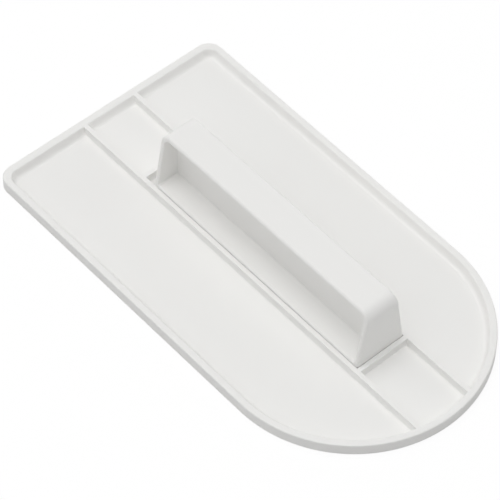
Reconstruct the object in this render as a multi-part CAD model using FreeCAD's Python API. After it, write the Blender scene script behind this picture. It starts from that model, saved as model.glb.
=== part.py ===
"""Icing smoother: a rimmed, ribbed base plate with a separately moulded grip handle bonded to it.

Frame: millimetres, +X along the plate towards its round end, +Y across it, +Z up.
The origin is at the middle of the plate's length and width, on its smooth underside.
"""
import FreeCAD, Part
import math
import os

Vector = FreeCAD.Vector

# Base plate
PLATE_LENGTH = 145.0
PLATE_WIDTH = 80.0
SQUARE_CORNER_RADIUS = 4.6
FLOOR_THICKNESS = 1.4
RIM_HEIGHT = 4.0
RIM_TOP_WIDTH = 2.0
SQUARE_RIM_TOP_WIDTH = 2.4
RIM_DRAFT = 18.0
RIM_FOOT_RADIUS = 1.5
RIM_EDGE_RADIUS = 0.5
TRAY_CORNER_RADIUS = 3.2
OUTER_EDGE_RADIUS = 0.4

# Stiffening ribs on the plate
RIB_TOP_WIDTH = 1.5
RIB_DRAFT = 2.0
RIB_FOOT_RADIUS = 0.4
RIB_EDGE_RADIUS = 0.12

# Handle: a grip of I section between two end walls, on a foot that seats between the ribs
HANDLE_LENGTH = 84.9
HANDLE_HEIGHT = 22.6
FOOT_WIDTH = 17.0
GRIP_TOP_WIDTH = 10.7
GRIP_END_RADIUS = 3.5
GRIP_EDGE_RADIUS = 0.7
END_WALL = 1.6
GRIP_TOP_WALL = 1.6
WEB_WALL = 2.2
POCKET_DRAFT = 1.5
POCKET_TOP_RADIUS = 2.0
POCKET_FOOT_RADIUS = 0.6
POCKET_ROOT_RADIUS = 0.3
POCKET_EDGE_RADIUS = 0.55
FOOT_LIP = 0.72

# Seat of the handle in the plate
SOCKET_CENTRE = 0.2
SEAT_CLEARANCE = 0.07
SEAT_END_GAP = 3.5
SHOULDER_LIFT = 0.08
TONGUE_STEP = 0.15
TONGUE_CORNER_RADIUS = 0.9

# Adhesive in a shallow recess under the foot
BOND_THICKNESS = 0.25
BOND_LAND = 2.0
BOND_MARGIN = 0.4
BOND_CORNER_RADIUS = 1.0

# Levels above the underside
RIB_HEIGHT = RIM_HEIGHT - FLOOR_THICKNESS
SHOULDER_LEVEL = RIM_HEIGHT + SHOULDER_LIFT
POCKET_LEVEL = SHOULDER_LEVEL + FOOT_LIP
HANDLE_TOP = FLOOR_THICKNESS + HANDLE_HEIGHT
POCKET_CEILING = HANDLE_TOP - GRIP_TOP_WALL

# The socket frame fits the tongue, and the handle is pushed up to its round end
TONGUE_LENGTH = HANDLE_LENGTH - 2 * TONGUE_STEP
TONGUE_WIDTH = FOOT_WIDTH - 2 * TONGUE_STEP
SOCKET_LENGTH = TONGUE_LENGTH + SEAT_CLEARANCE + SEAT_END_GAP
SOCKET_WIDTH = TONGUE_WIDTH + 2 * SEAT_CLEARANCE
HANDLE_CENTRE = SOCKET_CENTRE + SOCKET_LENGTH / 2 - SEAT_CLEARANCE - TONGUE_LENGTH / 2

# Middle of the half circle at the plate's round end
ROUND_CENTRE = (PLATE_LENGTH - PLATE_WIDTH) / 2

# Largest share of a wall or corner that a rounded edge may take
FILLET_SHARE = 0.8
# Room by which a cutting body runs past the face that it opens
OVERRUN = 1.0
# Closeness within which an edge or a face counts as lying on a plane
TOUCH = 1e-4

ORIGIN = Vector(0, 0, 0)
ALONG = Vector(1, 0, 0)
ACROSS = Vector(0, 1, 0)
UP = Vector(0, 0, 1)
QUARTER_TURN = 90.0


def slope(angle: float) -> float:
    """Sideways run per unit of height of a face with this draft, in degrees."""
    return math.tan(math.radians(angle))


def rounded_wire(corners: list) -> Part.Wire:
    """Closed flat wire through corners given as (point, radius), each rounded by a tangent arc."""
    count = len(corners)
    starts, middles, ends = [], [], []
    for index, (corner, radius) in enumerate(corners):
        back = (corners[index - 1][0] - corner).normalize()
        ahead = (corners[(index + 1) % count][0] - corner).normalize()
        half_angle = back.getAngle(ahead) / 2
        reach = radius / math.tan(half_angle)
        inward = (back + ahead).normalize()
        centre_distance = radius / math.sin(half_angle)
        starts.append(corner + back * reach)
        middles.append(corner + inward * (centre_distance - radius))
        ends.append(corner + ahead * reach)
    edges = []
    for index in range(count):
        following = (index + 1) % count
        if corners[index][1] > 0:
            edges.append(Part.Arc(starts[index], middles[index], ends[index]).toShape())
        if ends[index].distanceToPoint(starts[following]) > TOUCH:
            edges.append(Part.LineSegment(ends[index], starts[following]).toShape())
    return Part.Wire(edges)


def prism(wire: Part.Wire, travel: Vector) -> Part.Shape:
    """Solid swept by the area inside a flat wire along a straight travel."""
    return Part.Face(wire).extrude(travel)


def lies_on(piece: Part.Shape, direction: Vector, distance: float) -> bool:
    """True if all corners of an edge or a face are at one distance along a direction."""
    return all(abs(corner.Point.dot(direction) - distance) < TOUCH for corner in piece.Vertexes)


def edges_at(shape: Part.Shape, direction: Vector, distance: float) -> list:
    """Edges of a shape that lie at one distance along a direction."""
    return [edge for edge in shape.Edges if lies_on(edge, direction, distance)]


def edges_between(shape: Part.Shape, direction: Vector, near: float, far: float) -> list:
    """Edges of a shape that lie on neither of the two planes that close it along a direction."""
    return [edge for edge in shape.Edges
            if not lies_on(edge, direction, near) and not lies_on(edge, direction, far)]


def opening_edges(shape: Part.Shape, direction: Vector, distance: float) -> list:
    """Edges round the openings of the face that lies at a distance along a direction."""
    faces = [face for face in shape.Faces if lies_on(face, direction, distance)]
    wires = [wire for face in faces for wire in face.Wires if not wire.isSame(face.OuterWire)]
    return [edge for wire in wires for edge in wire.Edges]


def plate_outline(inset: float, corner_radius: float) -> Part.Wire:
    """The plate's outline at its underside, set in by a margin: square at -X, a half circle at +X."""
    half_length = PLATE_LENGTH / 2 - inset
    half_width = PLATE_WIDTH / 2 - inset
    return rounded_wire([
        (Vector(-half_length, -half_width, 0), corner_radius),
        (Vector(half_length, -half_width, 0), half_width),
        (Vector(half_length, half_width, 0), half_width),
        (Vector(-half_length, half_width, 0), corner_radius),
    ])


def tray_cutter() -> Part.Shape:
    """The hollow inside the rim: a drafted block and half cone, rounded where walls meet the floor."""
    height = RIB_HEIGHT + OVERRUN
    shrink = RIB_HEIGHT * slope(RIM_DRAFT)
    flare = OVERRUN * slope(RIM_DRAFT)
    end = PLATE_LENGTH / 2 - SQUARE_RIM_TOP_WIDTH
    side = PLATE_WIDTH / 2 - RIM_TOP_WIDTH
    foot_end, mouth_end = end - shrink, end + flare
    foot_side, mouth_side = side - shrink, side + flare
    block = Part.makeWedge(-foot_end, 0, -foot_side, -mouth_side, -mouth_end,
                           ROUND_CENTRE, height, foot_side, mouth_side, ROUND_CENTRE)
    block.rotate(ORIGIN, ALONG, QUARTER_TURN)
    half_cone = Part.makeCone(foot_side, mouth_side, height, ORIGIN, UP, 2 * QUARTER_TURN)
    half_cone.rotate(ORIGIN, UP, -QUARTER_TURN)
    half_cone.translate(Vector(ROUND_CENTRE, 0, 0))
    cutter = block.fuse(half_cone).removeSplitter()
    walls = edges_between(cutter, UP, 0, height)
    cutter = cutter.makeFillet(TRAY_CORNER_RADIUS, [edge for edge in walls if edge.CenterOfMass.x < 0])
    foot_radius = min(RIM_FOOT_RADIUS, FILLET_SHARE * min(TRAY_CORNER_RADIUS, RIB_HEIGHT))
    cutter = cutter.makeFillet(foot_radius, edges_at(cutter, UP, 0))
    cutter.translate(Vector(0, 0, FLOOR_THICKNESS))
    return cutter


def rimmed_tray() -> Part.Shape:
    """The plate without its ribs: a floor with a raised rim, all its edges eased."""
    slab = prism(plate_outline(0, SQUARE_CORNER_RADIUS), Vector(0, 0, RIM_HEIGHT))
    outer_edges = edges_at(slab, UP, 0) + edges_at(slab, UP, RIM_HEIGHT)
    tray = slab.makeFillet(OUTER_EDGE_RADIUS, outer_edges).cut(tray_cutter())
    return tray.makeFillet(RIM_EDGE_RADIUS, opening_edges(tray, UP, RIM_HEIGHT))


def rib(length: float) -> Part.Shape:
    """A drafted rib along +X from the origin, centred on the X axis, with its root in the floor."""
    half_top = RIB_TOP_WIDTH / 2
    half_foot = half_top + RIB_HEIGHT * slope(RIB_DRAFT)
    half_root = half_foot + 2 * RIB_FOOT_RADIUS
    root_level = FLOOR_THICKNESS / 2
    side = [
        (half_root, root_level, 0),
        (half_root, FLOOR_THICKNESS, 0),
        (half_foot, FLOOR_THICKNESS, RIB_FOOT_RADIUS),
        (half_top, RIM_HEIGHT, RIB_EDGE_RADIUS),
    ]
    corners = [(Vector(0, y, z), radius) for y, z, radius in side]
    corners += [(Vector(0, -y, z), radius) for y, z, radius in reversed(side)]
    return prism(rounded_wire(corners), Vector(length, 0, 0))


def rib_offset(socket_size: float) -> float:
    """Distance from the socket's middle to the middle of a rib beside it."""
    return socket_size / 2 + RIB_HEIGHT * slope(RIB_DRAFT) + RIB_TOP_WIDTH / 2


def ribs() -> Part.Shape:
    """Two ribs along the plate and two across, which frame the handle's foot and end in the rim."""
    across = rib_offset(SOCKET_WIDTH)
    along = rib_offset(SOCKET_LENGTH)
    pieces = []
    for side in (-1, 1):
        long_rib = rib(PLATE_LENGTH)
        long_rib.translate(Vector(-PLATE_LENGTH / 2, side * across, 0))
        pieces.append(long_rib)
        cross_rib = rib(2 * across)
        cross_rib.rotate(ORIGIN, UP, QUARTER_TURN)
        cross_rib.translate(Vector(SOCKET_CENTRE + side * along, -across, 0))
        pieces.append(cross_rib)
    inside_rim = prism(plate_outline(RIM_TOP_WIDTH / 2, SQUARE_CORNER_RADIUS / 2), Vector(0, 0, RIM_HEIGHT))
    return pieces[0].fuse(pieces[1:]).common(inside_rim)


def base_plate() -> Part.Shape:
    """The plate moulding: flat smooth underside, rim and ribs on top."""
    return rimmed_tray().fuse(ribs()).removeSplitter()


def slanted_sides() -> list:
    """The grip's two slanted sides, each as its outward direction and its distance that way."""
    lean = (FOOT_WIDTH - GRIP_TOP_WIDTH) / 2
    rise = HANDLE_TOP - SHOULDER_LEVEL
    sides = []
    for side in (-1, 1):
        outward = Vector(0, side * rise, lean).normalize()
        sides.append((outward, outward.dot(Vector(0, side * FOOT_WIDTH / 2, SHOULDER_LEVEL))))
    return sides


def grip_block() -> Part.Shape:
    """The grip before its pockets: a trapezium from the end, with rounded ends and eased edges."""
    half_length = HANDLE_LENGTH / 2
    side_view = rounded_wire([
        (Vector(-half_length, -FOOT_WIDTH, SHOULDER_LEVEL), 0),
        (Vector(half_length, -FOOT_WIDTH, SHOULDER_LEVEL), 0),
        (Vector(half_length, -FOOT_WIDTH, HANDLE_TOP), GRIP_END_RADIUS),
        (Vector(-half_length, -FOOT_WIDTH, HANDLE_TOP), GRIP_END_RADIUS),
    ])
    end_view = rounded_wire([
        (Vector(-HANDLE_LENGTH, -FOOT_WIDTH / 2, SHOULDER_LEVEL), 0),
        (Vector(-HANDLE_LENGTH, FOOT_WIDTH / 2, SHOULDER_LEVEL), 0),
        (Vector(-HANDLE_LENGTH, GRIP_TOP_WIDTH / 2, HANDLE_TOP), 0),
        (Vector(-HANDLE_LENGTH, -GRIP_TOP_WIDTH / 2, HANDLE_TOP), 0),
    ])
    block = prism(side_view, Vector(0, 2 * FOOT_WIDTH, 0))
    block = block.common(prism(end_view, Vector(2 * HANDLE_LENGTH, 0, 0)))
    outline = [edge for outward, distance in slanted_sides() for edge in edges_at(block, outward, distance)
               if not lies_on(edge, UP, SHOULDER_LEVEL)]
    return block.makeFillet(grip_edge_radius(), outline)


def grip_edge_radius() -> float:
    """Radius along the grip's outer edges, within its thinnest wall."""
    return min(GRIP_EDGE_RADIUS, FILLET_SHARE * min(END_WALL, GRIP_TOP_WALL))


def pocket_edge_radius() -> float:
    """Radius round the mouth of a pocket, within what the walls and the lip leave flat."""
    flat = min(min(END_WALL, GRIP_TOP_WALL) - grip_edge_radius(), FOOT_LIP)
    return min(POCKET_EDGE_RADIUS, FILLET_SHARE * flat)


def pocket_cutter() -> Part.Shape:
    """The finger hollow on the +Y side of the web: drafted, with rounded corners and roots."""
    web_face = WEB_WALL / 2
    mouth = FOOT_WIDTH / 2 + OVERRUN
    shrink = (FOOT_WIDTH / 2 - web_face) * slope(POCKET_DRAFT)
    flare = OVERRUN * slope(POCKET_DRAFT)
    half_length = HANDLE_LENGTH / 2 - END_WALL
    cutter = Part.makeWedge(shrink - half_length, web_face, POCKET_LEVEL + shrink,
                            POCKET_LEVEL - flare, -half_length - flare,
                            half_length - shrink, mouth, POCKET_CEILING - shrink,
                            POCKET_CEILING + flare, half_length + flare)
    middle = (POCKET_LEVEL + POCKET_CEILING) / 2
    low_corners = [edge for edge in edges_between(cutter, ACROSS, web_face, mouth) if edge.CenterOfMass.z < middle]
    cutter = cutter.makeFillet(POCKET_FOOT_RADIUS, low_corners)
    high_corners = [edge for edge in edges_between(cutter, ACROSS, web_face, mouth) if edge.CenterOfMass.z > middle]
    cutter = cutter.makeFillet(POCKET_TOP_RADIUS, high_corners)
    root_radius = min(POCKET_ROOT_RADIUS, FILLET_SHARE * min(POCKET_FOOT_RADIUS, POCKET_TOP_RADIUS))
    return cutter.makeFillet(root_radius, edges_at(cutter, ACROSS, web_face))


def grip() -> Part.Shape:
    """The grip with a finger pocket on each side of its web and eased pocket mouths."""
    pocket = pocket_cutter()
    piece = grip_block().cut([pocket, pocket.mirror(ORIGIN, ACROSS)])
    mouths = [edge for outward, distance in slanted_sides() for edge in opening_edges(piece, outward, distance)]
    return piece.makeFillet(pocket_edge_radius(), mouths)


def foot_outline(inset: float, corner_radius: float) -> Part.Wire:
    """Outline of the tongue under the handle at the floor, set in by a margin."""
    half_length = TONGUE_LENGTH / 2 - inset
    half_width = TONGUE_WIDTH / 2 - inset
    return rounded_wire([
        (Vector(-half_length, -half_width, FLOOR_THICKNESS), corner_radius),
        (Vector(half_length, -half_width, FLOOR_THICKNESS), corner_radius),
        (Vector(half_length, half_width, FLOOR_THICKNESS), corner_radius),
        (Vector(-half_length, half_width, FLOOR_THICKNESS), corner_radius),
    ])


def tongue() -> Part.Shape:
    """The foot's lower part, which seats between the ribs, with a recess for the adhesive."""
    block = prism(foot_outline(0, TONGUE_CORNER_RADIUS), Vector(0, 0, SHOULDER_LEVEL - FLOOR_THICKNESS))
    chamfer = RIB_FOOT_RADIUS + SEAT_CLEARANCE
    block = block.makeChamfer(chamfer, edges_at(block, UP, FLOOR_THICKNESS))
    recess = prism(foot_outline(BOND_LAND, BOND_CORNER_RADIUS), Vector(0, 0, BOND_THICKNESS))
    return block.cut(recess)


def handle() -> Part.Shape:
    """The handle moulding: I-section grip closed by two end walls, on its foot."""
    piece = grip().fuse(tongue()).removeSplitter()
    piece.translate(Vector(HANDLE_CENTRE, 0, 0))
    return piece


def bond_film() -> Part.Shape:
    """The adhesive between the floor and the recess under the foot, clear of the recess's walls."""
    outline = foot_outline(BOND_LAND + BOND_MARGIN, BOND_CORNER_RADIUS - BOND_MARGIN)
    film = prism(outline, Vector(0, 0, BOND_THICKNESS))
    film.translate(Vector(HANDLE_CENTRE, 0, 0))
    return film


PIECES = {
    "base_plate": base_plate,
    "handle": handle,
    "bond_film": bond_film,
}

os.makedirs("parts", exist_ok=True)
for name, make in PIECES.items():
    shape = make()
    box = shape.optimalBoundingBox()
    print(f"{name}: valid {shape.isValid()}, solids {len(shape.Solids)}, volume {shape.Volume:.1f} mm3,",
          f"box {box.XLength:.2f} x {box.YLength:.2f} x {box.ZLength:.2f} mm")
    shape.exportStep(f"parts/{name}.step")
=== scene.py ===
"""White moulded icing smoother: a ribbed plate and its grip, modelled on the frame and set in a studio."""

import logging
import math
from dataclasses import dataclass
from enum import Enum
from itertools import pairwise

import bmesh
import bpy
from mathutils import Matrix, Vector

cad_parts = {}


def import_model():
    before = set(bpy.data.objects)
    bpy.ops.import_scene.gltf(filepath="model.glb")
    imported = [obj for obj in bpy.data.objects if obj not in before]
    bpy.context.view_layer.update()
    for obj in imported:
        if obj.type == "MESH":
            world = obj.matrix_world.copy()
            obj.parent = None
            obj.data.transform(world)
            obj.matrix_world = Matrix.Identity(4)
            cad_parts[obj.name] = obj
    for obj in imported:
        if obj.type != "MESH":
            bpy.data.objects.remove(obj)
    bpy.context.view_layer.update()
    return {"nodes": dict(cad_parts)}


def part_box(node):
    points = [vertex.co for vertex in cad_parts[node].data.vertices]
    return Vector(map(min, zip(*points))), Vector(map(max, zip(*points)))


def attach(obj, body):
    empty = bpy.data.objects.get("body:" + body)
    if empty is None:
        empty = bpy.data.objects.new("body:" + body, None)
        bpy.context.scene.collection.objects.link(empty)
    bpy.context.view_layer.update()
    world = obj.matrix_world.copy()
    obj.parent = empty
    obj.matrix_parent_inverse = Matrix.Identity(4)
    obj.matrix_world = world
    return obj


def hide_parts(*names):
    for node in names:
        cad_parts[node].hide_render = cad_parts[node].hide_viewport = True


LOG = logging.getLogger("icing_smoother")

MM = 0.001
UP = Vector((0, 0, 1))
ACROSS = Vector((0, 1, 0))
QUARTER_TURN = math.pi / 2
HALF_TURN = math.pi

# How the handle's tongue sits in the socket
SHOULDER_LIFT = 0.08 * MM
SEAT_CLEARANCE = 0.07 * MM
SEAT_END_GAP = 3.5 * MM

# Fineness of the meshes
ROUND_END_STEPS = 72
SIDE_TRAY_STEPS = 36
END_PANEL_STEPS = 12
CORNER_STEPS = 10
ROUNDING_STEPS = 5
SHARP_ANGLE = math.radians(32)
WELD_DISTANCE = 0.001 * MM

# Places of the colour sockets on a Mix node, whose names repeat
MIX_FIRST = 6
MIX_SECOND = 7
MIX_RESULT = 2

Loop = list[bmesh.types.BMEdge]


class Side(Enum):
    """The two sides of the smoother's lengthwise middle plane."""

    NEAR = -1
    FAR = 1


class Face(Enum):
    """Material slots of a moulding."""

    SATIN = 0
    POLISHED = 1


def linear(hex_colour: str) -> tuple[float, float, float, float]:
    """Turns an sRGB hex colour into linear light.

    Args:
        hex_colour: six hex digits, red, green and blue.

    Returns:
        Linear red, green and blue with an alpha of 1.
    """
    channels = [int(hex_colour[i:i + 2], 16) / 255 for i in (0, 2, 4)]
    return (*(c / 12.92 if c <= 0.04045 else ((c + 0.055) / 1.055) ** 2.4 for c in channels), 1.0)


def pattern_scale(size_mm: float) -> float:
    """Gives the texture scale whose features are about size_mm across."""
    return 1 / (size_mm * MM)


def add_node(
    tree: bpy.types.NodeTree,
    kind: str,
    settings: dict[str, object] | None = None,
    links: dict[str, bpy.types.NodeSocket] | None = None,
) -> bpy.types.Node:
    """Adds a shader node with its settings and incoming links.

    Args:
        tree: the node tree that gets the node.
        kind: the type name of the node.
        settings: values by input name, or by property name where no input has it.
        links: output sockets by the name of the input that they feed.

    Returns:
        The new node.
    """
    node = tree.nodes.new(kind)
    for name, value in (settings or {}).items():
        if name in node.inputs:
            node.inputs[name].default_value = value
        else:
            setattr(node, name, value)
    for name, socket in (links or {}).items():
        tree.links.new(socket, node.inputs[name])
    return node


def bare_material(name: str) -> tuple[bpy.types.Material, bpy.types.NodeTree]:
    """Makes a material that has no nodes yet.

    Args:
        name: the material's name.

    Returns:
        The material and its node tree.
    """
    made = bpy.data.materials.new(name)
    made.use_nodes = True
    made.node_tree.nodes.clear()
    return made, made.node_tree


@dataclass(frozen=True)
class MouldedPlastic:
    """Injection-moulded white ABS: opaque, very faintly warm, with the sheen that its mould face leaves."""

    name: str
    light_colour: str
    shade_colour: str
    roughness: tuple[float, float]
    grain_mm: float
    grain_depth_mm: float
    flow_mm: float = 38.0
    sheen_patch_mm: float = 7.0
    ior: float = 1.53

    def material(self) -> bpy.types.Material:
        """Builds the node material.

        Returns:
            A material on Object coordinates.
        """
        made, tree = bare_material(self.name)
        place = add_node(tree, "ShaderNodeTexCoord").outputs["Object"]
        # The pigment is a little cloudy from the flow of the melt
        flow = add_node(
            tree, "ShaderNodeTexNoise",
            {"Scale": pattern_scale(self.flow_mm), "Detail": 3.0, "Roughness": 0.55},
            {"Vector": place},
        )
        colour = add_node(
            tree, "ShaderNodeMix",
            {"data_type": "RGBA"},
            {"Factor": flow.outputs["Fac"]},
        )
        colour.inputs[MIX_FIRST].default_value = linear(self.shade_colour)
        colour.inputs[MIX_SECOND].default_value = linear(self.light_colour)
        # The mould face is never quite even, so the sheen differs from patch to patch
        patches = add_node(
            tree, "ShaderNodeTexNoise",
            {"Scale": pattern_scale(self.sheen_patch_mm), "Detail": 4.0, "Roughness": 0.6},
            {"Vector": place},
        )
        sheen = add_node(
            tree, "ShaderNodeMapRange",
            {"To Min": self.roughness[0], "To Max": self.roughness[1]},
            {"Value": patches.outputs["Fac"]},
        )
        # The real grain is some hundredths of a millimetre, drawn coarser here so that it shows
        grain = add_node(
            tree, "ShaderNodeTexNoise",
            {"Scale": pattern_scale(self.grain_mm), "Detail": 2.0, "Roughness": 0.5},
            {"Vector": place},
        )
        bump = add_node(
            tree, "ShaderNodeBump",
            {"Strength": 1.0, "Distance": self.grain_depth_mm * MM},
            {"Height": grain.outputs["Fac"]},
        )
        shader = add_node(
            tree, "ShaderNodeBsdfPrincipled",
            {"IOR": self.ior},
            {
                "Base Color": colour.outputs[MIX_RESULT],
                "Roughness": sheen.outputs["Result"],
                "Normal": bump.outputs["Normal"],
            },
        )
        add_node(tree, "ShaderNodeOutputMaterial", links={"Surface": shader.outputs["BSDF"]})
        return made


@dataclass(frozen=True)
class CuredAdhesive:
    """Cured clear adhesive: a thin, faintly yellow film with small bubbles, glossy from the squeeze."""

    name: str = "cured_adhesive"
    colour: str = "EFEDE0"
    bubble_colour: str = "F6F5EE"
    bubble_mm: float = 0.8
    ripple_mm: float = 5.0
    ripple_depth_mm: float = 0.02
    roughness: float = 0.22
    ior: float = 1.49

    def material(self) -> bpy.types.Material:
        """Builds the node material.

        Returns:
            A material on Object coordinates.
        """
        made, tree = bare_material(self.name)
        place = add_node(tree, "ShaderNodeTexCoord").outputs["Object"]
        bubbles = add_node(
            tree, "ShaderNodeTexVoronoi",
            {"Scale": pattern_scale(self.bubble_mm)},
            {"Vector": place},
        )
        colour = add_node(
            tree, "ShaderNodeMix",
            {"data_type": "RGBA"},
            {"Factor": bubbles.outputs["Distance"]},
        )
        colour.inputs[MIX_FIRST].default_value = linear(self.bubble_colour)
        colour.inputs[MIX_SECOND].default_value = linear(self.colour)
        ripple = add_node(
            tree, "ShaderNodeTexNoise",
            {"Scale": pattern_scale(self.ripple_mm), "Detail": 2.0},
            {"Vector": place},
        )
        bump = add_node(
            tree, "ShaderNodeBump",
            {"Strength": 1.0, "Distance": self.ripple_depth_mm * MM},
            {"Height": ripple.outputs["Fac"]},
        )
        shader = add_node(
            tree, "ShaderNodeBsdfPrincipled",
            {"IOR": self.ior, "Roughness": self.roughness},
            {"Base Color": colour.outputs[MIX_RESULT], "Normal": bump.outputs["Normal"]},
        )
        add_node(tree, "ShaderNodeOutputMaterial", links={"Surface": shader.outputs["BSDF"]})
        return made


# The upper side and the grip come from a blasted mould face, which leaves a soft, even satin
SATIN_ABS = MouldedPlastic(
    name="moulded_abs_satin",
    light_colour="F9F9F7",
    shade_colour="F8F7F5",
    roughness=(0.36, 0.46),
    grain_mm=0.7,
    grain_depth_mm=0.0025,
)
# The working face comes from a polished mould face, so icing does not catch on it
POLISHED_ABS = MouldedPlastic(
    name="moulded_abs_polished",
    light_colour="F9F9F7",
    shade_colour="F9F8F6",
    roughness=(0.12, 0.17),
    grain_mm=6.0,
    grain_depth_mm=0.004,
)


class LoopTracer:
    """Draws a closed loop of edges from one vertex, with extruded lines and spun arcs."""

    def __init__(self, mesh: bmesh.types.BMesh, start: Vector, axis: Vector) -> None:
        """Starts a loop.

        Args:
            mesh: the mesh that gets the loop.
            start: the loop's first point.
            axis: the axis that arcs turn about.
        """
        self.mesh = mesh
        self.axis = axis
        self.first = bmesh.ops.create_vert(mesh, co=start)["vert"][0]
        self.last = self.first

    def line(self, point: Vector) -> None:
        """Extrudes a straight edge.

        Args:
            point: where the edge ends.
        """
        grown = bmesh.ops.extrude_vert_indiv(self.mesh, verts=[self.last])
        self.last = grown["verts"][0]
        bmesh.ops.translate(self.mesh, verts=[self.last], vec=point - self.last.co)

    def arc(self, centre: Vector, angle: float, steps: int) -> None:
        """Spins an arc about a centre.

        Args:
            centre: the arc's centre.
            angle: the turn about the loop's axis, in radians.
            steps: how many edges the arc has.
        """
        turned = bmesh.ops.spin(
            self.mesh, geom=[self.last], cent=centre, axis=self.axis, angle=angle, steps=steps,
        )
        self.last = turned["geom_last"][0]

    def close(self) -> Loop:
        """Joins the last point to the first.

        Returns:
            The loop's edges in order.
        """
        bmesh.ops.contextual_create(self.mesh, geom=[self.last, self.first])
        edge = self.first.link_edges[0]
        corner = edge.other_vert(self.first)
        loop = [edge]
        while corner != self.first:
            edge = next(other for other in corner.link_edges if other != edge)
            corner = edge.other_vert(corner)
            loop.append(edge)
        return loop


def corners(loop: Loop) -> list[bmesh.types.BMVert]:
    """Lists the vertices of a loop, each one once."""
    return list({vert for edge in loop for vert in edge.verts})


def skin(mesh: bmesh.types.BMesh, loops: list[Loop]) -> None:
    """Joins each loop to the next with a band of faces."""
    for one, other in pairwise(loops):
        bmesh.ops.bridge_loops(mesh, edges=one + other)


def quarter_steps() -> list[tuple[float, float]]:
    """Gives the steps round a quarter circle.

    Returns:
        Pairs of the remaining distance to each of the quarter's two sides, for a radius of 1.
    """
    angles = [QUARTER_TURN * step / ROUNDING_STEPS for step in range(ROUNDING_STEPS + 1)]
    return [(1 - math.sin(angle), 1 - math.cos(angle)) for angle in angles]


def linked_object(mesh: bmesh.types.BMesh, name: str) -> bpy.types.Object:
    """Puts a mesh into the scene as an object at the origin.

    Args:
        mesh: the mesh, which is used up.
        name: the name of the object and its mesh.

    Returns:
        The new object.
    """
    data = bpy.data.meshes.new(name)
    mesh.to_mesh(data)
    mesh.free()
    made = bpy.data.objects.new(name, data)
    bpy.context.scene.collection.objects.link(made)
    return made


def finished_object(mesh: bmesh.types.BMesh, name: str, node: str) -> bpy.types.Object:
    """Welds and shades a moulding, and puts it in the frame in place of its CAD node.

    Args:
        mesh: the moulding's closed mesh, in its place.
        name: the piece's name.
        node: the CAD node that the piece stands for.

    Returns:
        The new object.
    """
    bmesh.ops.remove_doubles(mesh, verts=mesh.verts[:], dist=WELD_DISTANCE)
    bmesh.ops.recalc_face_normals(mesh, faces=mesh.faces[:])
    for face in mesh.faces:
        face.smooth = True
    for edge in mesh.edges:
        edge.smooth = edge.calc_face_angle(0) < SHARP_ANGLE
    piece = linked_object(mesh, name)
    even = piece.modifiers.new("even_shading", "WEIGHTED_NORMAL")
    even.mode = "FACE_AREA"
    even.keep_sharp = True
    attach(piece, "root")
    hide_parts(node)
    LOG.info("%s: %d vertices, %d faces", name, len(piece.data.vertices), len(piece.data.polygons))
    return piece


@dataclass(frozen=True)
class Wall:
    """Side wall of a sunk panel, from its rounded brink down to its rounded foot."""

    brink_radius: float
    draft: float
    foot_radius: float

    def run(self, depth: float) -> float:
        """How far the wall's draft takes it inwards over a depth."""
        return depth * math.tan(math.radians(self.draft))

    def inset(self, level: float, top: float, floor: float) -> float:
        """Works out how far the wall stands in from its top edge.

        Args:
            level: the height to look at.
            top: the height of the wall's top.
            floor: the height of the wall's foot.

        Returns:
            The distance inwards, below zero on the rounded brink.
        """
        lean = math.radians(self.draft)
        above = level - (top - self.brink_radius)
        if above > self.brink_radius * math.sin(lean):
            centre = self.run(self.brink_radius) - self.brink_radius / math.cos(lean)
            return centre + math.sqrt(max(0.0, self.brink_radius ** 2 - above ** 2))
        below = floor + self.foot_radius - level
        if below > self.foot_radius * math.sin(lean):
            centre = self.run(top - floor - self.foot_radius) + self.foot_radius / math.cos(lean)
            return centre - math.sqrt(max(0.0, self.foot_radius ** 2 - below ** 2))
        return self.run(top - level)


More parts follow.
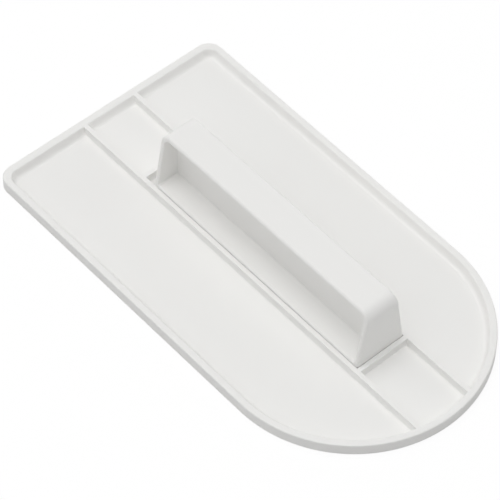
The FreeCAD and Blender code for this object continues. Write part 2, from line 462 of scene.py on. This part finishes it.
@dataclass
class RibbedPlate:
    """Plate moulding: D outline, raised rim, ribs that frame the handle's socket, smooth underside."""

    low: Vector
    high: Vector
    floor_level: float
    socket_ends: tuple[float, float]
    socket_half_width: float
    corner_radius: float = 4.6 * MM
    tray_corner_radius: float = 3.2 * MM
    rim_top_width: float = 2.0 * MM
    square_rim_top_width: float = 2.4 * MM
    rib_top_width: float = 1.5 * MM
    outer_edge_radius: float = 0.4 * MM
    rim_wall: Wall = Wall(brink_radius=0.5 * MM, draft=18.0, foot_radius=1.5 * MM)
    rib_wall: Wall = Wall(brink_radius=0.12 * MM, draft=2.0, foot_radius=0.4 * MM)

    @property
    def half_width(self) -> float:
        """Half the plate's width, which is also the radius of its round end."""
        return self.high.y

    @property
    def round_centre(self) -> float:
        """Where along the plate its round end is centred."""
        return self.high.x - self.half_width

    @property
    def rib_inner(self) -> float:
        """How far a rib's top stands out from the foot of the socket's side."""
        return self.rib_wall.run(self.high.z - self.floor_level)

    @property
    def rib_outer(self) -> float:
        """How far the outer edge of a rib's top stands out from the foot of the socket's side."""
        return self.rib_inner + self.rib_top_width

    def rim_inset(self, level: float) -> float:
        """How far the rim's inner wall stands in from the edge of its top at a level."""
        return self.rim_wall.inset(level, self.high.z, self.floor_level)

    def square_end(self, level: float) -> float:
        """Where along the plate the inner wall of the rim's square end stands at a level."""
        return self.low.x + self.square_rim_top_width + self.rim_inset(level)

    def rim_half_width(self, level: float) -> float:
        """Half the width between the rim's inner walls at a level."""
        return self.half_width - self.rim_top_width - self.rim_inset(level)

    def rib_inset(self, level: float) -> float:
        """How far a rib's wall stands out from the edge of its top at a level."""
        return self.rib_wall.inset(level, self.high.z, self.floor_level)

    def wall_levels(self) -> list[float]:
        """Lists the heights where the sunk panels' walls need a loop.

        Returns:
            Heights from the rim's top down to the floor.
        """
        lifts = [lift for _, lift in quarter_steps()]
        levels = {self.high.z, self.floor_level}
        for wall in (self.rim_wall, self.rib_wall):
            levels.update(self.high.z - wall.brink_radius * lift for lift in lifts)
            levels.update(self.floor_level + wall.foot_radius * lift for lift in lifts)
        return sorted(levels, reverse=True)

    def outline(self, mesh: bmesh.types.BMesh, inset: float, level: float) -> Loop:
        """Traces the plate's outline.

        Args:
            mesh: the mesh that gets the loop.
            inset: how far the loop stands in from the outline.
            level: the loop's height.

        Returns:
            The loop's edges.
        """
        half = self.half_width - inset
        corner = self.corner_radius - inset
        end = self.low.x + inset
        tracer = LoopTracer(mesh, Vector((self.round_centre, -half, level)), UP)
        tracer.arc(Vector((self.round_centre, 0, level)), HALF_TURN, ROUND_END_STEPS)
        tracer.line(Vector((end + corner, half, level)))
        tracer.arc(Vector((end + corner, half - corner, level)), QUARTER_TURN, CORNER_STEPS)
        tracer.line(Vector((end, corner - half, level)))
        tracer.arc(Vector((end + corner, corner - half, level)), QUARTER_TURN, CORNER_STEPS)
        return tracer.close()

    def side_tray(self, mesh: bmesh.types.BMesh, side: Side, level: float) -> Loop:
        """Traces the panel between the rim and one of the long ribs.

        Args:
            mesh: the mesh that gets the loop.
            side: which side of the handle the panel is on.
            level: the loop's height.

        Returns:
            The loop's edges.
        """
        half = self.rim_half_width(level)
        corner = self.tray_corner_radius - self.rim_inset(level)
        end = self.square_end(level)
        rib = self.socket_half_width + self.rib_outer + self.rib_inset(level)
        turn = QUARTER_TURN - math.asin(rib / half)
        sign = side.value
        tracer = LoopTracer(mesh, Vector((end, sign * rib, level)), UP)
        bend = sign * (half - corner)
        tracer.line(Vector((end, bend, level)))
        tracer.arc(Vector((end + corner, bend, level)), -sign * QUARTER_TURN, CORNER_STEPS)
        tracer.line(Vector((self.round_centre, sign * half, level)))
        tracer.arc(Vector((self.round_centre, 0, level)), -sign * turn, SIDE_TRAY_STEPS)
        return tracer.close()

    def square_end_panel(self, mesh: bmesh.types.BMesh, level: float) -> Loop:
        """Traces the panel between the rim's square end and the socket."""
        rib = self.socket_ends[0] - self.rib_outer - self.rib_inset(level)
        return self.box_panel(mesh, self.square_end(level), rib, level)

    def socket(self, mesh: bmesh.types.BMesh, level: float) -> Loop:
        """Traces the socket that the ribs frame."""
        spare = self.rib_inner - self.rib_inset(level)
        return self.box_panel(mesh, self.socket_ends[0] - spare, self.socket_ends[1] + spare, level)

    def box_panel(self, mesh: bmesh.types.BMesh, start: float, end: float, level: float) -> Loop:
        """Traces a rectangle between the two long ribs.

        Args:
            mesh: the mesh that gets the loop.
            start: where the rectangle starts along the plate.
            end: where it ends.
            level: the loop's height.

        Returns:
            The loop's edges.
        """
        half = self.socket_half_width + self.rib_inner - self.rib_inset(level)
        tracer = LoopTracer(mesh, Vector((start, -half, level)), UP)
        tracer.line(Vector((end, -half, level)))
        tracer.line(Vector((end, half, level)))
        tracer.line(Vector((start, half, level)))
        return tracer.close()

    def round_end_panel(self, mesh: bmesh.types.BMesh, level: float) -> Loop:
        """Traces the panel between the socket and the rim's round end.

        Args:
            mesh: the mesh that gets the loop.
            level: the loop's height.

        Returns:
            The loop's edges.
        """
        radius = self.rim_half_width(level)
        half = self.socket_half_width + self.rib_inner - self.rib_inset(level)
        rib = self.socket_ends[1] + self.rib_outer + self.rib_inset(level)
        turn = math.asin(half / radius)
        tracer = LoopTracer(mesh, Vector((rib, -half, level)), UP)
        tracer.line(Vector((self.round_centre + radius * math.cos(turn), -half, level)))
        tracer.arc(Vector((self.round_centre, 0, level)), 2 * turn, END_PANEL_STEPS)
        tracer.line(Vector((rib, half, level)))
        return tracer.close()

    def outer_loops(self, mesh: bmesh.types.BMesh) -> list[Loop]:
        """Traces the plate's outer wall with its two rounded edges.

        Args:
            mesh: the mesh that gets the loops.

        Returns:
            Loops from the rim's top down to the underside.
        """
        rounding = [
            (inset * self.outer_edge_radius, lift * self.outer_edge_radius)
            for inset, lift in quarter_steps()
        ]
        upper = [self.outline(mesh, inset, self.high.z - lift) for inset, lift in rounding]
        lower = [self.outline(mesh, inset, self.low.z + lift) for inset, lift in reversed(rounding)]
        return upper + lower

    def build(self) -> bpy.types.Object:
        """Models the moulding.

        Returns:
            The finished piece.
        """
        mesh = bmesh.new()
        levels = self.wall_levels()
        outer = self.outer_loops(mesh)
        skin(mesh, outer)
        underside = bmesh.ops.contextual_create(mesh, geom=outer[-1])["faces"]
        top_edges = list(outer[0])
        panels = [
            [self.side_tray(mesh, Side.NEAR, level) for level in levels],
            [self.side_tray(mesh, Side.FAR, level) for level in levels],
            [self.square_end_panel(mesh, level) for level in levels],
            [self.socket(mesh, level) for level in levels],
            [self.round_end_panel(mesh, level) for level in levels],
        ]
        for loops in panels:
            skin(mesh, loops)
            bmesh.ops.contextual_create(mesh, geom=loops[-1])
            top_edges += loops[0]
        bmesh.ops.triangle_fill(mesh, edges=top_edges, normal=UP)
        for face in underside:
            face.material_index = Face.POLISHED.value
        piece = finished_object(mesh, "plate_moulding", "base_plate")
        piece.data.materials.append(SATIN_ABS.material())
        piece.data.materials.append(POLISHED_ABS.material())
        return piece


@dataclass
class GripHandle:
    """Handle moulding: a tapered block with a finger pocket in each side, on a tongue in the socket."""

    low: Vector
    high: Vector
    shoulder_level: float
    recess_level: float
    top_width: float = 10.7 * MM
    end_radius: float = 3.5 * MM
    edge_radius: float = 0.7 * MM
    end_wall: float = 1.6 * MM
    top_wall: float = 1.6 * MM
    foot_lip: float = 0.72 * MM
    web_wall: float = 2.2 * MM
    pocket_draft: float = 1.5
    pocket_top_radius: float = 2.0 * MM
    pocket_foot_radius: float = 0.6 * MM
    pocket_root_radius: float = 0.3 * MM
    pocket_edge_radius: float = 0.55 * MM
    tongue_step: float = 0.15 * MM
    tongue_corner_radius: float = 0.9 * MM
    tongue_chamfer: float = 0.47 * MM
    recess_land: float = 2.0 * MM
    recess_corner_radius: float = 1.0 * MM

    def half_width(self, level: float) -> float:
        """Half the width of the tapered block at a level."""
        share = (level - self.shoulder_level) / (self.high.z - self.shoulder_level)
        return self.high.y + share * (self.top_width / 2 - self.high.y)

    def lean(self, loop: Loop, side: Side, depth: float) -> Loop:
        """Lays an upright loop against one of the block's sloping sides.

        Args:
            loop: the loop's edges.
            side: the side of the block.
            depth: how far the loop lies inside the side.

        Returns:
            The same loop.
        """
        for vert in corners(loop):
            vert.co.y = side.value * (self.half_width(vert.co.z) - depth)
        return loop

    def side_outline(self, mesh: bmesh.types.BMesh, side: Side, inset: float, depth: float) -> Loop:
        """Traces the block's outline as seen from the side.

        Args:
            mesh: the mesh that gets the loop.
            side: the side of the block that the loop belongs to.
            inset: how far the loop stands in from the ends and the top.
            depth: how far the loop lies inside the side.

        Returns:
            The loop's edges.
        """
        start, end, top = self.low.x + inset, self.high.x - inset, self.high.z - inset
        radius = self.end_radius - inset
        tracer = LoopTracer(mesh, Vector((start, 0, self.shoulder_level)), ACROSS)
        tracer.line(Vector((start, 0, top - radius)))
        tracer.arc(Vector((start + radius, 0, top - radius)), QUARTER_TURN, CORNER_STEPS)
        tracer.line(Vector((end - radius, 0, top)))
        tracer.arc(Vector((end - radius, 0, top - radius)), QUARTER_TURN, CORNER_STEPS)
        tracer.line(Vector((end, 0, self.shoulder_level)))
        return self.lean(tracer.close(), side, depth)

    def pocket_outline(self, mesh: bmesh.types.BMesh, inset: float) -> Loop:
        """Traces a finger pocket's outline as seen from the side.

        Args:
            mesh: the mesh that gets the loop.
            inset: how far the loop stands in from the pocket's mouth.

        Returns:
            The loop's edges, on the middle plane.
        """
        start = self.low.x + self.end_wall + inset
        end = self.high.x - self.end_wall - inset
        foot = self.shoulder_level + self.foot_lip + inset
        ceiling = self.high.z - self.top_wall - inset
        upper = self.pocket_top_radius - inset
        lower = self.pocket_foot_radius - inset
        tracer = LoopTracer(mesh, Vector((start + lower, 0, foot)), ACROSS)
        tracer.arc(Vector((start + lower, 0, foot + lower)), QUARTER_TURN, CORNER_STEPS)
        tracer.line(Vector((start, 0, ceiling - upper)))
        tracer.arc(Vector((start + upper, 0, ceiling - upper)), QUARTER_TURN, CORNER_STEPS)
        tracer.line(Vector((end - upper, 0, ceiling)))
        tracer.arc(Vector((end - upper, 0, ceiling - upper)), QUARTER_TURN, CORNER_STEPS)
        tracer.line(Vector((end, 0, foot + lower)))
        tracer.arc(Vector((end - lower, 0, foot + lower)), QUARTER_TURN, CORNER_STEPS)
        return tracer.close()

    def pocket(self, mesh: bmesh.types.BMesh, side: Side) -> list[Loop]:
        """Traces a pocket from its eased mouth in to the web.

        Args:
            mesh: the mesh that gets the loops.
            side: the side of the block that the pocket opens on.

        Returns:
            Loops from the mouth to the web.
        """
        loops = []
        for inset, depth in quarter_steps():
            mouth = self.pocket_outline(mesh, -inset * self.pocket_edge_radius)
            loops.append(self.lean(mouth, side, depth * self.pocket_edge_radius))
        web = self.web_wall / 2
        run = (self.half_width(self.high.z) - web) * math.tan(math.radians(self.pocket_draft))
        for height, inset in quarter_steps():
            root = self.pocket_outline(mesh, run + inset * self.pocket_root_radius)
            for vert in corners(root):
                vert.co.y = side.value * (web + height * self.pocket_root_radius)
            loops.append(root)
        return loops

    def tongue_outline(self, mesh: bmesh.types.BMesh, inset: float, radius: float, level: float) -> Loop:
        """Traces the tongue's outline as seen from above.

        Args:
            mesh: the mesh that gets the loop.
            inset: how far the loop stands in from the tongue's sides.
            radius: the radius of the loop's corners.
            level: the loop's height.

        Returns:
            The loop's edges.
        """
        margin = self.tongue_step + inset
        start = self.low.x + margin + radius
        end = self.high.x - margin - radius
        side = self.high.y - margin - radius
        tracer = LoopTracer(mesh, Vector((end, -side - radius, level)), UP)
        tracer.arc(Vector((end, -side, level)), QUARTER_TURN, CORNER_STEPS)
        tracer.line(Vector((end + radius, side, level)))
        tracer.arc(Vector((end, side, level)), QUARTER_TURN, CORNER_STEPS)
        tracer.line(Vector((start, side + radius, level)))
        tracer.arc(Vector((start, side, level)), QUARTER_TURN, CORNER_STEPS)
        tracer.line(Vector((start - radius, -side, level)))
        tracer.arc(Vector((start, -side, level)), QUARTER_TURN, CORNER_STEPS)
        return tracer.close()

    def add_tongue(self, mesh: bmesh.types.BMesh) -> None:
        """Adds the tongue to the block's underside, with a recess for the adhesive.

        Args:
            mesh: the handle's mesh, with the block in it.
        """
        beneath = [
            face for face in mesh.faces
            if all(abs(vert.co.z - self.shoulder_level) < WELD_DISTANCE for vert in face.verts)
        ]
        foot = bmesh.ops.dissolve_faces(mesh, faces=beneath)["region"]
        shoulder = [edge for face in foot for edge in face.edges]
        bmesh.ops.delete(mesh, geom=foot, context="FACES_ONLY")
        chamfer, radius = self.tongue_chamfer, self.tongue_corner_radius
        land, recess_radius = self.recess_land, self.recess_corner_radius
        loops = [
            self.tongue_outline(mesh, 0, radius, self.shoulder_level),
            self.tongue_outline(mesh, 0, radius, self.low.z + chamfer),
            self.tongue_outline(mesh, chamfer, radius - chamfer, self.low.z),
            self.tongue_outline(mesh, land, recess_radius, self.low.z),
            self.tongue_outline(mesh, land, recess_radius, self.recess_level),
        ]
        skin(mesh, loops)
        bmesh.ops.contextual_create(mesh, geom=loops[-1])
        bmesh.ops.triangle_fill(mesh, edges=shoulder + loops[0], normal=-UP)

    def build(self) -> bpy.types.Object:
        """Models the moulding.

        Returns:
            The finished piece.
        """
        mesh = bmesh.new()
        rounding = [
            (inset * self.edge_radius, depth * self.edge_radius)
            for inset, depth in quarter_steps()
        ]
        near = [self.side_outline(mesh, Side.NEAR, inset, depth) for inset, depth in rounding]
        far = [self.side_outline(mesh, Side.FAR, inset, depth) for inset, depth in rounding]
        skin(mesh, near + far[::-1])
        for side, brink in ((Side.NEAR, near[0]), (Side.FAR, far[0])):
            loops = self.pocket(mesh, side)
            skin(mesh, loops)
            bmesh.ops.contextual_create(mesh, geom=loops[-1])
            bmesh.ops.triangle_fill(mesh, edges=brink + loops[0], normal=ACROSS * side.value)
        self.add_tongue(mesh)
        piece = finished_object(mesh, "handle_moulding", "handle")
        piece.data.materials.append(SATIN_ABS.material())
        return piece


@dataclass(frozen=True)
class Softbox:
    """Rectangular soft light that points at the object."""

    name: str
    place: tuple[float, float, float]
    size: tuple[float, float]
    power: float

    def hang(self) -> None:
        """Hangs the light in its place."""
        lamp = bpy.data.lights.new(self.name, "AREA")
        lamp.shape = "RECTANGLE"
        lamp.size, lamp.size_y = self.size
        lamp.energy = self.power
        softbox = bpy.data.objects.new(self.name, lamp)
        softbox.location = self.place
        softbox.rotation_euler = Vector(self.place).to_track_quat("Z", "Y").to_euler()
        bpy.context.scene.collection.objects.link(softbox)


@dataclass(frozen=True)
class Studio:
    """Pale floor, soft light from all round and the camera at the photograph's viewing angle."""

    floor_size: float = 6.0
    floor_drop: float = 0.02 * MM
    floor_colour: str = "E2E2E2"
    floor_white_share: float = 0.85
    floor_white_strength: float = 1.06
    room_colour: str = "FFFFFF"
    room_strength: float = 0.316
    softboxes: tuple[Softbox, ...] = (
        Softbox("overhead_softbox", (0.0, 0.0, 1.4), size=(1.0, 1.0), power=6.55),
        Softbox("front_softbox", (-0.3, -0.6, 1.1), size=(2.4, 1.6), power=6.97),
        Softbox("back_wall", (-1.0, 1.1, 0.35), size=(3.0, 0.9), power=5.03),
        Softbox("side_softbox", (0.9, 1.2, 0.5), size=(1.6, 0.8), power=1.97),
    )
    azimuth: float = 48.0917
    elevation: float = 51.6235
    roll: float = 0.8721
    reach: float = 838.359 * MM
    aim: tuple[float, float, float] = (-7.403 * MM, -1.486 * MM, 0.0)
    focal_length: float = 216.159
    sensor_width: float = 36.0

    def paper(self) -> bpy.types.Material:
        """Makes the floor's paper, burnt out to white in view and pale grey in the light that it returns.

        Returns:
            The floor's material.
        """
        made, tree = bare_material("backdrop_paper")
        seen = add_node(tree, "ShaderNodeLightPath").outputs["Is Camera Ray"]
        share = add_node(tree, "ShaderNodeMapRange", {"To Max": self.floor_white_share}, {"Value": seen})
        matt = add_node(tree, "ShaderNodeBsdfDiffuse", {"Color": linear(self.floor_colour)})
        white = add_node(
            tree, "ShaderNodeEmission",
            {"Color": linear(self.room_colour), "Strength": self.floor_white_strength},
        )
        surface = add_node(tree, "ShaderNodeMixShader", links={"Fac": share.outputs["Result"]})
        # Both inputs have the same name, so the two shaders are linked by their place
        tree.links.new(matt.outputs["BSDF"], surface.inputs[1])
        tree.links.new(white.outputs["Emission"], surface.inputs[2])
        add_node(tree, "ShaderNodeOutputMaterial", links={"Surface": surface.outputs["Shader"]})
        return made

    def add_floor(self) -> None:
        """Lays a pale floor just under the plate."""
        mesh = bmesh.new()
        bmesh.ops.create_grid(mesh, x_segments=1, y_segments=1, size=self.floor_size / 2)
        bmesh.ops.translate(mesh, verts=mesh.verts[:], vec=-UP * self.floor_drop)
        floor = linked_object(mesh, "studio_floor")
        floor.data.materials.append(self.paper())

    def add_light(self) -> None:
        """Lights the object with softboxes in a dim white room."""
        world = bpy.data.worlds.new("studio_room")
        world.use_nodes = True
        background = world.node_tree.nodes["Background"]
        background.inputs["Color"].default_value = linear(self.room_colour)
        background.inputs["Strength"].default_value = self.room_strength
        bpy.context.scene.world = world
        for softbox in self.softboxes:
            softbox.hang()

    def add_camera(self) -> None:
        """Sets the camera up where the photograph was taken from."""
        turn, rise = math.radians(self.azimuth), math.radians(self.elevation)
        back = Vector((math.sin(turn) * math.cos(rise), -math.cos(turn) * math.cos(rise), math.sin(rise)))
        right = UP.cross(back).normalized()
        upright = Matrix((right, back.cross(right), back)).transposed()
        tilt = upright @ Matrix.Rotation(math.radians(self.roll), 3, "Z")
        lens = bpy.data.cameras.new("photo_camera")
        lens.sensor_width = self.sensor_width
        lens.lens = self.focal_length
        camera = bpy.data.objects.new("photo_camera", lens)
        camera.matrix_world = Matrix.LocRotScale(Vector(self.aim) + back * self.reach, tilt, None)
        bpy.context.scene.collection.objects.link(camera)
        bpy.context.scene.camera = camera

    def build(self) -> None:
        """Sets up the floor, the light, the camera and plain colour handling."""
        self.add_floor()
        self.add_light()
        self.add_camera()
        bpy.context.scene.view_settings.view_transform = "Standard"


def main() -> None:
    """Builds the smoother on the boxes of the frame's parts and sets the studio up."""
    logging.basicConfig(level=logging.INFO, format="%(name)s %(message)s")
    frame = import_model()
    plate_low, plate_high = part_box("base_plate")
    handle_low, handle_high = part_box("handle")
    film_low, film_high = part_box("bond_film")

    handle = GripHandle(
        low=handle_low,
        high=handle_high,
        shoulder_level=plate_high.z + SHOULDER_LIFT,
        recess_level=film_high.z,
    )
    plate = RibbedPlate(
        low=plate_low,
        high=plate_high,
        floor_level=film_low.z,
        socket_ends=(
            handle_low.x + handle.tongue_step - SEAT_END_GAP,
            handle_high.x - handle.tongue_step + SEAT_CLEARANCE,
        ),
        socket_half_width=handle_high.y - handle.tongue_step + SEAT_CLEARANCE,
    )
    for part in (plate, handle):
        piece = part.build()

    film = frame["nodes"]["bond_film"]
    film.data.materials.clear()
    film.data.materials.append(CuredAdhesive().material())
    LOG.info("bond_film keeps its CAD solid")

    Studio().build()


if __name__ == "__main__":
    main()
